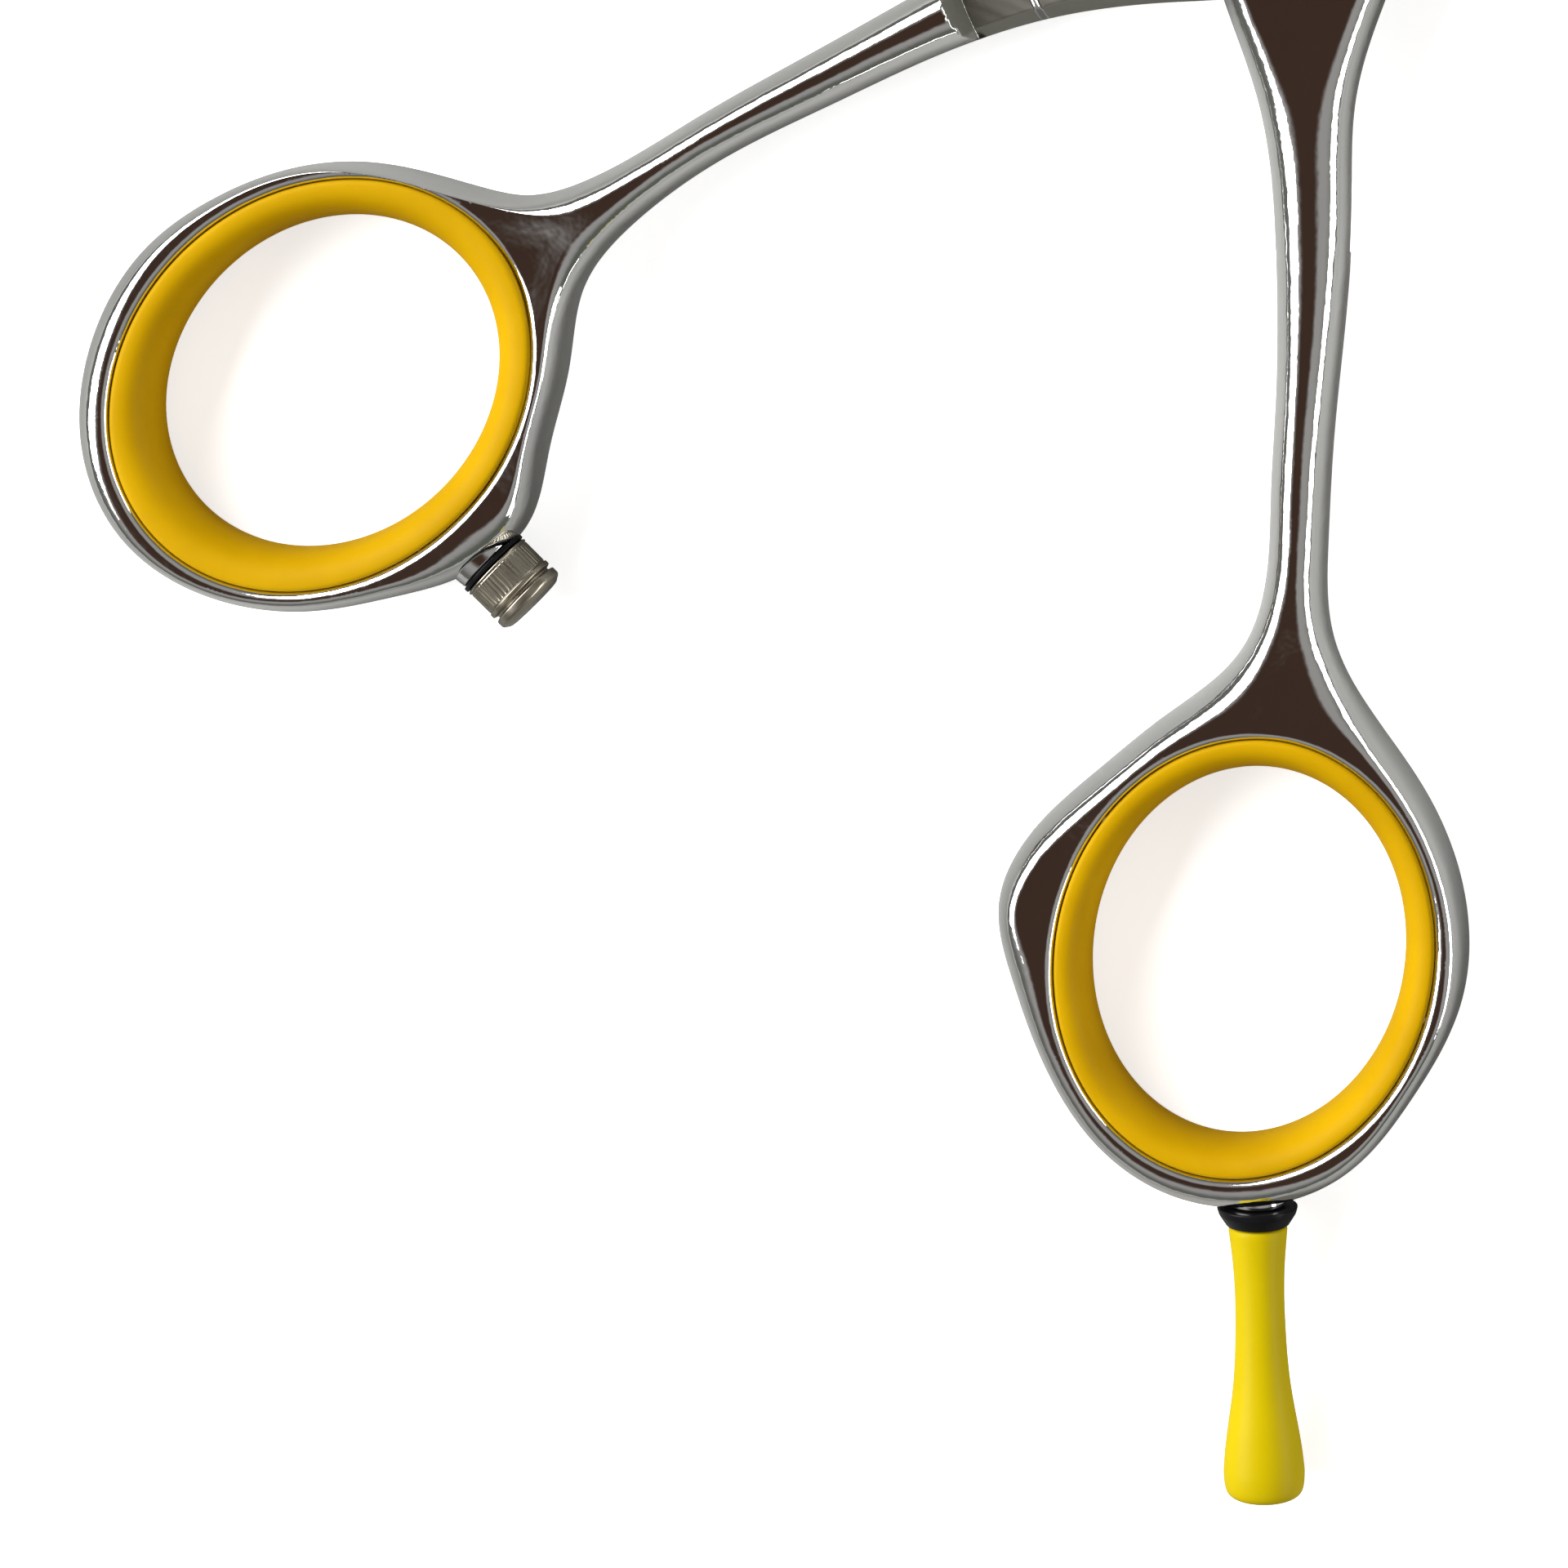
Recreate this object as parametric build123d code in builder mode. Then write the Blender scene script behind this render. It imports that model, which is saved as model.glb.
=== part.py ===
"""Right-handed hairdressing shears, six-inch class, lying flat and held partly open.

Two forged halves cross at a dial-adjusted, ball-bearing pivot. Each half ends in an oval
finger ring with a soft insert. The thumb ring carries a threaded stopper that meets a bump
on the finger ring, and a finger rest screws into the far end of the finger ring.

Frame: the origin is on the pivot axis at the underside of the pivot screw's head, +Z up
towards the dial, +Y along the finger blade towards its tip. Millimetres.
"""
from build123d import *
import math
import os

# ---- Heights -------------------------------------------------------------------------
ring_depth = 6.4                # height of both rings and shanks
mate_z = ring_depth / 2         # plane where the two halves meet
face_gap = 0.02                 # each half stops this far short of the mating plane
blade_thickness = 2.9           # at the pivot
outer_drop = 0.3                # the pivot boss is this much lower than the rings, on the outside

# ---- Opening and blades --------------------------------------------------------------
rest_opening = 30.0             # degrees between the halves as the shears lie
closing_turn = 29.2             # degrees from there until the stopper nearly meets the bump
blade_tip = 74.6                # pivot to tip
blade_heel = 6.5                # pivot to the start of the blade section
heel_spine = 6.1                # spine's distance from the blade axis at the heel
heel_edge = 4.6                 # edge's distance from the blade axis at the heel
tip_spine, tip_edge = 0.25, 0.15        # the same two distances at the tip
spine_curve, edge_curve = 1.7, 1.15     # powers that bow the spine and the edge outwards
blade_taper = 0.62              # share of the thickness lost from the pivot to the tip
edge_land = 0.12                # height left at the cutting edge
blade_stations = (blade_heel, 30.0, 52.0, blade_tip)

# ---- Forging -------------------------------------------------------------------------
edge_round = 1.1                # round on the outer edges of shanks and rings
rim_chamfer = 0.35              # bright rim round each ring hole
relief_radius = 22.3            # inside this radius each half is only half height
ride_radius = 18.6              # raised ride face
ride_step = 0.15
ramp_run = 2.2                  # length of the ramp up to full height
ramp_foot = (0.3, 0.9)          # the ramp's steep start: run and rise
boss_flat_radius = 13.0         # outside this the lowered pivot boss slopes up to the shank

# ---- Rings and inserts ---------------------------------------------------------------
finger_ring_centre = (20.1, -60.5)
finger_ring_radii = (13.35, 11.1)
finger_ring_turn = 99.5         # direction of the oval's long axis
thumb_ring_centre = (-12.4, -65.5)
thumb_ring_radii = (14.0, 11.35)
thumb_ring_turn = 89.0
insert_opening_radii = (11.4, 9.2)
insert_depth = 6.0
insert_round = 1.6

# ---- Pivot ---------------------------------------------------------------------------
head_radius, head_height, head_chamfer = 4.2, 0.9, 0.2
journal_radius = 2.2
key_radius, key_flats = 2.0, 3.4        # double-D neck held by the finger half
thread_radius = 1.95
thread_relief = 0.3             # length of the round neck under the thread
screw_top = 7.95
bush_outer_radius = 2.8
running_clearance = 0.03
head_pocket_radius = 4.4
head_pocket_top = 1.15
washer_thickness, washer_clearance = 0.22, 0.1
pocket_inner_radius, pocket_outer_radius = 3.3, 5.1
race_thickness, race_clearance = 0.3, 0.05
ball_radius, ball_count, ball_circle = 0.4, 12, 4.2
ball_clearance = 0.04
cage_thickness, cage_clearance = 0.4, 0.1
ball_pocket_gap = 0.03
pocket_depth = ball_radius + ball_clearance + race_thickness
click_pocket_radius, click_pocket_depth = 4.9, 0.4
click_plate_radius, click_plate_thickness = 4.85, 0.35
click_notch_count, click_notch_radius = 24, 0.25
spring_height, spring_thickness = 6.45, 0.3
spring_radius, spring_bore_radius = 4.5, 2.05
dial_radius, dial_bottom, dial_height = 5.2, 6.78, 1.7
dial_chamfer, dial_bore_radius = 0.2, 2.0
dial_knurl_count, dial_knurl_radius, dial_knurl_circle = 36, 0.28, 5.3
dial_recess_radius, dial_recess_depth = 2.8, 0.6
cap_radius, cap_height, cap_chamfer = 2.5, 0.5, 0.12
cap_slot_width, cap_slot_depth = 0.7, 0.25
cap_stud_radius, cap_stud_length, cap_hole_depth = 1.0, 1.9, 2.2

# ---- Stopper on the thumb ring, in the closed position -------------------------------
stopper_base = (2.0, -64.45)
stopper_heading = 7.5           # degrees from +X
stopper_radius, stopper_end, stopper_chamfer = 2.35, 3.6, 0.3
stopper_grooves = ((1.0, 0.18), (1.5, 0.18), (2.0, 0.18), (2.5, 0.35))     # start and width
stopper_groove_depth = 0.2
stopper_washer_thickness = 0.25
stopper_stud_length, stopper_hole_depth = 2.4, 2.75
stopper_boss_length = 2.2
stud_radius, stud_hole_radius = 1.2, 1.25
stud_clearance = 0.05
boss_radius, boss_facing_radius = 2.6, 2.9
seat_gap = 0.02                 # between a screwed-on piece and the face that it seats on

# ---- Finger rest ---------------------------------------------------------------------
rest_base = (26.5, -74.65)
rest_heading = -66.3            # degrees from +X
rest_boss_length, rest_hole_depth = 2.0, 3.0
collar_height, collar_wide, collar_narrow = 1.2, 2.45, 1.85
rest_length = 17.1
# radius and height up the waisted side
rest_sides = ((1.76, 0.0), (1.52, 3.0), (1.51, 6.5), (1.76, 10.2), (2.42, 14.6), (2.44, 15.8))
rest_shoulder = (2.05, 16.8)    # radius and height where the side turns in to the domed end
stud_in_rest, stud_in_ring = 6.0, 2.05

# ---- Worked out from the dimensions above --------------------------------------------
click_seat = ring_depth - outer_drop - click_pocket_depth
neck_top = click_seat + click_plate_thickness       # the click plate's top, where the neck ends
thumb_plane = Plane.XY.rotated((0, 0, -rest_opening))
os.makedirs("parts", exist_ok=True)


def save(part, name):
    """Label a finished piece and write it to its own file."""
    part.label = name
    export_step(part, f"parts/{name}.step")


def axis_plane(base, heading, turn=0.0):
    """Plane at mid height whose normal leaves a ring at base along heading."""
    a = math.radians(turn)
    x = base[0] * math.cos(a) - base[1] * math.sin(a)
    y = base[0] * math.sin(a) + base[1] * math.cos(a)
    h = math.radians(heading + turn)
    return Plane(origin=(x, y, mate_z), x_dir=(0, 0, 1), z_dir=(math.cos(h), math.sin(h), 0))


def cross_plane(y, turn):
    """Upright plane across a blade, y from the pivot; local x runs across the blade."""
    a = math.radians(turn)
    c, s = math.cos(a), math.sin(a)
    return Plane(origin=(-y * s, y * c, 0), x_dir=(c, s, 0), z_dir=(s, -c, 0))


def blade_section(y, side):
    """Corners of the blade's section at y: flat inside, convex outside; side is 1 for the upper half."""
    run = (y - blade_heel) / (blade_tip - blade_heel)
    spine = -heel_spine * (1 - run**spine_curve) - tip_spine
    edge = heel_edge * (1 - run**edge_curve) + tip_edge
    width = edge - spine
    thickness = blade_thickness * (1 - blade_taper * run)
    base = mate_z + side * face_gap
    shape = [(0, 0), (0, 0.5), (0.12, 0.88), (0.34, 1), (0.68, 0.7), (1, edge_land / thickness), (1, 0)]
    return [(side * (spine + u * width), base + side * v * thickness) for u, v in shape]


# Outlines of the two forgings at mid height, from the blade's heel round the ring and back.
finger_outline = [
    (-6.3, 8.0), (-6.4, 2.0), (-5.4, -4.6), (-2.1, -9.6), (1.8, -14.1), (4.7, -18.9), (7.0, -24.0),
    (9.1, -29.3), (11.0, -34.7), (12.8, -40.2), (12.9, -43.8), (10.0, -49.8), (7.9, -53.8), (5.5, -59.4),
    (5.35, -63.4), (8.0, -67.8), (11.6, -71.7), (16.4, -75.0), (21.6, -76.0), (26.4, -74.6),
    (30.3, -71.0), (32.4, -64.5), (32.7, -57.9), (30.5, -52.4), (26.4, -47.9), (21.4, -44.5),
    (17.6, -41.2), (15.1, -36.0), (13.2, -30.6), (10.7, -22.4), (8.8, -17.1), (6.9, -11.9),
    (6.3, -6.0), (6.2, 0.0), (5.6, 8.0),
]
thumb_outline = [
    (-5.6, 8.0), (-6.2, 0.0), (-6.5, -6.0), (-7.0, -13.0), (-8.6, -24.3), (-9.7, -30.8), (-10.8, -37.4),
    (-11.8, -44.2), (-13.6, -48.9), (-18.3, -53.1), (-22.8, -57.7), (-25.2, -64.0), (-25.5, -69.5),
    (-22.0, -77.4), (-18.5, -80.4), (-12.9, -81.8), (-6.8, -79.6), (-2.2, -74.9), (0.1, -70.4),
    (1.4, -67.2), (1.9, -64.4), (1.6, -61.4), (-1.0, -57.8), (-4.0, -53.8), (-7.2, -49.9),
    (-8.4, -44.4), (-7.9, -37.4), (-6.5, -31.0), (-5.0, -24.8), (-2.2, -17.3), (1.0, -12.0),
    (4.8, -6.0), (6.3, 0.0), (6.3, 8.0),
]


# Where the stopper and the finger rest leave their rings.
stopper_plane = axis_plane(stopper_base, stopper_heading, -rest_opening)
rest_plane = axis_plane(rest_base, rest_heading)


# ---- Forged halves -------------------------------------------------------------------
def inner_relief(side):
    """Profile, turned about the pivot, that takes away the half of the handle beyond the mating plane."""
    face = mate_z + side * face_gap
    floor = mate_z + side * (face_gap + ride_step)
    far = mate_z - side * (mate_z + 1)
    ramp_end = relief_radius + ramp_run
    return [
        (0, far), (0, face), (ride_radius, face), (ride_radius + ride_step, floor), (relief_radius, floor),
        (relief_radius + ramp_foot[0], mate_z - side * ramp_foot[1]), (ramp_end, mate_z - side * mate_z),
        (ramp_end, far),
    ]


def outer_relief(side):
    """Profile, turned about the pivot, that lowers the outside of the pivot boss."""
    top = mate_z + side * (mate_z - outer_drop)
    full = mate_z + side * mate_z
    above = full + side
    return [(0, top), (boss_flat_radius, top), (relief_radius, full), (relief_radius, above), (0, above)]


with BuildPart() as finger_half:
    with BuildSketch():
        with BuildLine():
            Spline(*finger_outline)
            Line(finger_outline[-1], finger_outline[0])
        make_face()
    extrude(amount=ring_depth)
    top_and_bottom = finger_half.faces().filter_by(Axis.Z)
    fillet(top_and_bottom.edges().filter_by(GeomType.BSPLINE), radius=edge_round)
    with BuildSketch(Plane.XY):
        with Locations(Location((*finger_ring_centre, 0), (0, 0, finger_ring_turn))):
            Ellipse(*finger_ring_radii)
    extrude(amount=ring_depth, mode=Mode.SUBTRACT)
    chamfer(finger_half.edges().filter_by(GeomType.ELLIPSE), length=rim_chamfer)
    with BuildSketch(Plane.XZ):
        with BuildLine():
            Polyline(*inner_relief(1), close=True)
        make_face()
    revolve(axis=Axis.Z, mode=Mode.SUBTRACT)
    with BuildSketch(Plane.XZ):
        with BuildLine():
            Polyline(*outer_relief(1), close=True)
        make_face()
    revolve(axis=Axis.Z, mode=Mode.SUBTRACT)
    for y in blade_stations:
        with BuildSketch(cross_plane(y, 0)):
            with BuildLine():
                Polyline(*blade_section(y, 1), close=True)
            make_face()
    loft(ruled=True)
    with BuildSketch(Plane.XY.offset(mate_z)):
        Circle(pocket_outer_radius)
        Circle(pocket_inner_radius, mode=Mode.SUBTRACT)
    extrude(amount=pocket_depth, mode=Mode.SUBTRACT)
    with BuildSketch():
        Circle(key_radius)
        Rectangle(2 * key_flats, key_flats, mode=Mode.INTERSECT)
    extrude(amount=ring_depth, mode=Mode.SUBTRACT)
    with BuildSketch(Plane.XY.offset(ring_depth - outer_drop)):
        Circle(click_pocket_radius)
    extrude(amount=-click_pocket_depth, mode=Mode.SUBTRACT)
    with BuildSketch(rest_plane.offset(-rest_boss_length)):
        Circle(boss_radius)
    extrude(amount=rest_boss_length)
    with BuildSketch(rest_plane):
        Circle(stud_hole_radius)
    extrude(amount=-rest_hole_depth, mode=Mode.SUBTRACT)
save(finger_half.part, "finger_half")

with BuildPart() as thumb_half:
    with BuildSketch(thumb_plane):
        with BuildLine():
            Spline(*thumb_outline)
            Line(thumb_outline[-1], thumb_outline[0])
        make_face()
    extrude(amount=ring_depth)
    top_and_bottom = thumb_half.faces().filter_by(Axis.Z)
    fillet(top_and_bottom.edges().filter_by(GeomType.BSPLINE), radius=edge_round)
    with BuildSketch(stopper_plane.offset(-stopper_boss_length)):
        Circle(boss_radius)
    extrude(amount=stopper_boss_length)
    with BuildSketch(thumb_plane):
        with Locations(Location((*thumb_ring_centre, 0), (0, 0, thumb_ring_turn))):
            Ellipse(*thumb_ring_radii)
    extrude(amount=ring_depth, mode=Mode.SUBTRACT)
    chamfer(thumb_half.edges().filter_by(GeomType.ELLIPSE).group_by(SortBy.LENGTH)[-1], length=rim_chamfer)
    with BuildSketch(Plane.XZ):
        with BuildLine():
            Polyline(*inner_relief(-1), close=True)
        make_face()
    revolve(axis=Axis.Z, mode=Mode.SUBTRACT)
    with BuildSketch(Plane.XZ):
        with BuildLine():
            Polyline(*outer_relief(-1), close=True)
        make_face()
    revolve(axis=Axis.Z, mode=Mode.SUBTRACT)
    for y in blade_stations:
        with BuildSketch(cross_plane(y, -closing_turn)):
            with BuildLine():
                Polyline(*blade_section(y, -1), close=True)
            make_face()
    loft(ruled=True)
    with BuildSketch(Plane.XY.offset(mate_z)):
        Circle(pocket_outer_radius)
        Circle(pocket_inner_radius, mode=Mode.SUBTRACT)
    extrude(amount=-pocket_depth, mode=Mode.SUBTRACT)
    with BuildSketch():
        Circle(bush_outer_radius)
    extrude(amount=ring_depth, mode=Mode.SUBTRACT)
    with BuildSketch():
        Circle(head_pocket_radius)
    extrude(amount=head_pocket_top, mode=Mode.SUBTRACT)
    with BuildSketch(stopper_plane):
        Circle(boss_facing_radius)
    extrude(amount=boss_radius, mode=Mode.SUBTRACT)
    with BuildSketch(stopper_plane):
        Circle(stud_hole_radius)
    extrude(amount=-stopper_hole_depth, mode=Mode.SUBTRACT)
save(thumb_half.part, "thumb_half")

# ---- Soft ring inserts ---------------------------------------------------------------
ring_seats = {
    "finger_ring_insert": (Plane.XY, finger_ring_centre, finger_ring_radii, finger_ring_turn),
    "thumb_ring_insert": (thumb_plane, thumb_ring_centre, thumb_ring_radii, thumb_ring_turn),
}
for name, (plane, centre, radii, turn) in ring_seats.items():
    seat = Location((*centre, 0), (0, 0, turn))
    with BuildPart() as ring_insert:
        with BuildSketch(plane.offset(mate_z - insert_depth / 2)):
            with Locations(seat):
                Ellipse(*radii)
                Ellipse(*insert_opening_radii, mode=Mode.SUBTRACT)
        extrude(amount=insert_depth)
        opening_edges = ring_insert.edges().filter_by(GeomType.ELLIPSE).group_by(SortBy.LENGTH)[0]
        fillet(opening_edges, radius=insert_round)
    save(ring_insert.part, name)

# ---- Pivot: screw, bush, washer and ball bearing -------------------------------------
with BuildPart() as pivot_screw:
    with BuildSketch():
        Circle(head_radius)
    extrude(amount=head_height)
    chamfer(pivot_screw.edges().sort_by(Axis.Z)[0], length=head_chamfer)
    with BuildSketch(Plane.XY.offset(head_height)):
        Circle(journal_radius)
    extrude(amount=mate_z - head_height)
    with BuildSketch(Plane.XY.offset(mate_z)):
        Circle(key_radius)
        Rectangle(2 * key_flats, key_flats, mode=Mode.INTERSECT)
    extrude(amount=neck_top - mate_z)
    with BuildSketch(Plane.XY.offset(neck_top)):
        Circle(key_flats / 2)
    extrude(amount=thread_relief)
    with BuildSketch(Plane.XY.offset(neck_top + thread_relief)):
        Circle(thread_radius)
    extrude(amount=screw_top - neck_top - thread_relief)
    with BuildSketch(Plane.XY.offset(screw_top)):
        Circle(cap_stud_radius)
    extrude(amount=-cap_hole_depth, mode=Mode.SUBTRACT)
save(pivot_screw.part, "pivot_screw")

with BuildPart() as pivot_bush:
    with BuildSketch(Plane.XY.offset(head_pocket_top)):
        Circle(bush_outer_radius)
        Circle(journal_radius + running_clearance, mode=Mode.SUBTRACT)
    extrude(amount=mate_z - face_gap - head_pocket_top)
save(pivot_bush.part, "pivot_bush")

with BuildPart() as thrust_washer:
    with BuildSketch(Plane.XY.offset(head_height)):
        Circle(head_radius - washer_clearance)
        Circle(journal_radius + washer_clearance, mode=Mode.SUBTRACT)
    extrude(amount=washer_thickness)
save(thrust_washer.part, "thrust_washer")

race_heights = {
    "lower_ball_race": mate_z - pocket_depth,
    "upper_ball_race": mate_z + pocket_depth - race_thickness,
}
for name, height in race_heights.items():
    with BuildPart() as race:
        with BuildSketch(Plane.XY.offset(height)):
            Circle(pocket_outer_radius - race_clearance)
            Circle(pocket_inner_radius + race_clearance, mode=Mode.SUBTRACT)
        extrude(amount=race_thickness)
    save(race.part, name)

with BuildPart() as ball_cage:
    with BuildSketch(Plane.XY.offset(mate_z - cage_thickness / 2)):
        Circle(pocket_outer_radius - cage_clearance)
        Circle(pocket_inner_radius + cage_clearance, mode=Mode.SUBTRACT)
        with PolarLocations(ball_circle, ball_count):
            Circle(ball_radius + ball_pocket_gap, mode=Mode.SUBTRACT)
    extrude(amount=cage_thickness)
save(ball_cage.part, "ball_cage")

with BuildPart() as bearing_balls:
    with Locations((0, 0, mate_z)):
        with PolarLocations(ball_circle, ball_count):
            Sphere(ball_radius)
save(bearing_balls.part, "bearing_balls")

# ---- Tension dial --------------------------------------------------------------------
with BuildPart() as click_plate:
    with BuildSketch(Plane.XY.offset(click_seat)):
        Circle(click_plate_radius)
        Circle(key_radius, mode=Mode.SUBTRACT)
    extrude(amount=click_plate_thickness)
    with BuildSketch(Plane.XY.offset(neck_top)):
        with PolarLocations(click_plate_radius, click_notch_count):
            Circle(click_notch_radius)
    extrude(amount=-click_plate_thickness / 2, mode=Mode.SUBTRACT)
save(click_plate.part, "click_plate")

with BuildPart() as click_spring:
    with BuildSketch(Plane.XY.offset(spring_height)):
        Circle(spring_radius)
        Circle(spring_bore_radius, mode=Mode.SUBTRACT)
    extrude(amount=spring_thickness)
save(click_spring.part, "click_spring")

with BuildPart() as tension_dial:
    with BuildSketch(Plane.XY.offset(dial_bottom)):
        Circle(dial_radius)
    extrude(amount=dial_height)
    chamfer(tension_dial.edges(), length=dial_chamfer)
    with BuildSketch(Plane.XY.offset(dial_bottom)):
        with PolarLocations(dial_knurl_circle, dial_knurl_count):
            Circle(dial_knurl_radius)
    extrude(amount=dial_height, mode=Mode.SUBTRACT)
    with BuildSketch(Plane.XY.offset(dial_bottom + dial_height)):
        Circle(dial_recess_radius)
    extrude(amount=-dial_recess_depth, mode=Mode.SUBTRACT)
    with BuildSketch(Plane.XY.offset(dial_bottom)):
        Circle(dial_bore_radius)
    extrude(amount=dial_height, mode=Mode.SUBTRACT)
save(tension_dial.part, "tension_dial")

with BuildPart() as dial_retaining_screw:
    with BuildSketch(Plane.XY.offset(screw_top)):
        Circle(cap_radius)
    extrude(amount=cap_height)
    chamfer(dial_retaining_screw.edges().sort_by(Axis.Z)[-1], length=cap_chamfer)
    with BuildSketch(Plane.XY.offset(screw_top + cap_height)):
        Rectangle(2 * cap_radius, cap_slot_width)
    extrude(amount=-cap_slot_depth, mode=Mode.SUBTRACT)
    with BuildSketch(Plane.XY.offset(screw_top)):
        Circle(cap_stud_radius)
    extrude(amount=-cap_stud_length)
save(dial_retaining_screw.part, "dial_retaining_screw")

# ---- Stopper -------------------------------------------------------------------------
with BuildPart() as stopper_washer:
    with BuildSketch(stopper_plane.offset(seat_gap)):
        Circle(stopper_radius)
        Circle(stud_radius + stud_clearance, mode=Mode.SUBTRACT)
    extrude(amount=stopper_washer_thickness)
save(stopper_washer.part, "stopper_washer")

stopper_start = seat_gap + stopper_washer_thickness + seat_gap
with BuildPart() as stopper_screw:
    with BuildSketch(stopper_plane.offset(stopper_start)):
        Circle(stopper_radius)
    extrude(amount=stopper_end - stopper_start)
    chamfer(stopper_screw.edges().sort_by(Axis((0, 0, 0), stopper_plane.z_dir))[-1], length=stopper_chamfer)
    for start, width in stopper_grooves:
        with BuildSketch(stopper_plane.offset(start)):
            Circle(boss_radius)
            Circle(stopper_radius - stopper_groove_depth, mode=Mode.SUBTRACT)
        extrude(amount=width, mode=Mode.SUBTRACT)
    with BuildSketch(stopper_plane.offset(stopper_start)):
        Circle(stud_radius)
    extrude(amount=-stopper_stud_length)
save(stopper_screw.part, "stopper_screw")

# ---- Finger rest ---------------------------------------------------------------------
with BuildPart() as finger_rest_collar:
    with BuildSketch(rest_plane.offset(seat_gap)):
        Circle(collar_wide)
    with BuildSketch(rest_plane.offset(seat_gap + collar_height)):
        Circle(collar_narrow)
    loft()
    with BuildSketch(rest_plane.offset(seat_gap)):
        Circle(stud_radius + stud_clearance)
    extrude(amount=collar_height, mode=Mode.SUBTRACT)
save(finger_rest_collar.part, "finger_rest_collar")

rest_start = seat_gap + collar_height + seat_gap
rest_profile_plane = Plane(origin=rest_plane.origin, x_dir=rest_plane.x_dir, z_dir=-rest_plane.y_dir)
with BuildPart() as finger_rest:
    with BuildSketch(rest_profile_plane):
        with BuildLine():
            side = Spline(*[(radius, rest_start + height) for radius, height in rest_sides])
            end = Spline(
                side @ 1, (rest_shoulder[0], rest_start + rest_shoulder[1]), (0, rest_start + rest_length),
                tangents=(side % 1, (-1, 0)),
            )
            Polyline(end @ 1, (0, rest_start), side @ 0)
        make_face()
    revolve(axis=Axis(rest_plane.origin, rest_plane.z_dir))
    with BuildSketch(rest_plane.offset(rest_start)):
        Circle(stud_radius)
    extrude(amount=stud_in_rest, mode=Mode.SUBTRACT)
save(finger_rest.part, "finger_rest")

with BuildPart() as finger_rest_stud:
    with BuildSketch(rest_plane.offset(-stud_in_ring)):
        Circle(stud_radius)
    extrude(amount=stud_in_ring + rest_start + stud_in_rest)
save(finger_rest_stud.part, "finger_rest_stud")

# ---- Joint facts ---------------------------------------------------------------------
for label, plane in (("stopper", stopper_plane), ("rest", rest_plane)):
    point, way = plane.origin, plane.z_dir
    print(f"{label} axis at ({point.X:.4f}, {point.Y:.4f}, {point.Z:.4f})")
    print(f"{label} axis along ({way.X:.6f}, {way.Y:.6f}, {way.Z:.6f})")
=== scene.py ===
"""Hairdressing shears: the finished look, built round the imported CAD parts."""

import math

import bmesh
import bpy
import numpy as np
from mathutils import Matrix, Vector, geometry, kdtree

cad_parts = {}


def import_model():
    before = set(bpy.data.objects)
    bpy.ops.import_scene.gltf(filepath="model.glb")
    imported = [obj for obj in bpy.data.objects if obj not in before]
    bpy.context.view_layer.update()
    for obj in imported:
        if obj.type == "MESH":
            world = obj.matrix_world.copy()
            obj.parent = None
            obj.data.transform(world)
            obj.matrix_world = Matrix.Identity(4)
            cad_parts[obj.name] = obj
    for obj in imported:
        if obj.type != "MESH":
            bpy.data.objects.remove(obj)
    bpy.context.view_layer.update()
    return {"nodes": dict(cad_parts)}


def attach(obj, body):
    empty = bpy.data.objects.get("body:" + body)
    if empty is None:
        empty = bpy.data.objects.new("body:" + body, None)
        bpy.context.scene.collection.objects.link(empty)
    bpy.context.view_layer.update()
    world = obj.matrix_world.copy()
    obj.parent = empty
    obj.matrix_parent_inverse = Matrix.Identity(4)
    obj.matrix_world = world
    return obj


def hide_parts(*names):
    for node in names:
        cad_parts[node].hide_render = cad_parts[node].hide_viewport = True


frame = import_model()

# Shapes are worked out in millimetres and scaled to metres as they are made.
MM = 0.001

# ---- Dimensions of the halves ----------------------------------------------------------
MATE = 3.2                      # height of the plane where the two halves meet
REST_OPENING = 30.0             # degrees between the halves as the shears lie
CLOSING_TURN = 29.2             # degrees from there until the shears are closed

BLADE_TIP = 74.6                # pivot to tip
BLADE_HEEL = 6.5                # pivot to the start of the blade section
HEEL_SPINE, HEEL_EDGE = 6.1, 4.6        # spine's and edge's distance from the blade axis at the heel
TIP_SPINE, TIP_EDGE = 0.25, 0.15        # the same two distances at the tip
SPINE_CURVE, EDGE_CURVE = 1.7, 1.15     # powers that bow the spine and the edge outwards
TIP_ROUND = 0.2
EDGE_START = 8.9                # the free edge starts here
NOTCH_END = 8.8                 # the small notch before it ends here
NOTCH_CORNER = (0.12, 7.4)      # the notch's corner: this far in from the handle's end, and this high
OUTLINE_SIGMA = 1.6             # samples over which the outline is smoothed, but for the tip
TIP_LENGTH = 1
BLADE_HEIGHT = 2.9              # at the pivot
BLADE_TAPER = 0.62              # share of the height lost from the pivot to the tip
EDGE_LAND = 0.12                # height left at the cutting edge
SPINE_SHARE = 0.3               # share of the blade's width taken by the rounded spine
SPINE_FOOT = 0.42               # the spine's height at its foot, as a share of the crown
BEVEL_CURVE = 1.8               # power that bows the bevel from the spine down to the edge
BLADE_BLEND = (BLADE_HEEL, 15)  # the pivot boss runs into the blade between these distances along it

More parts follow.
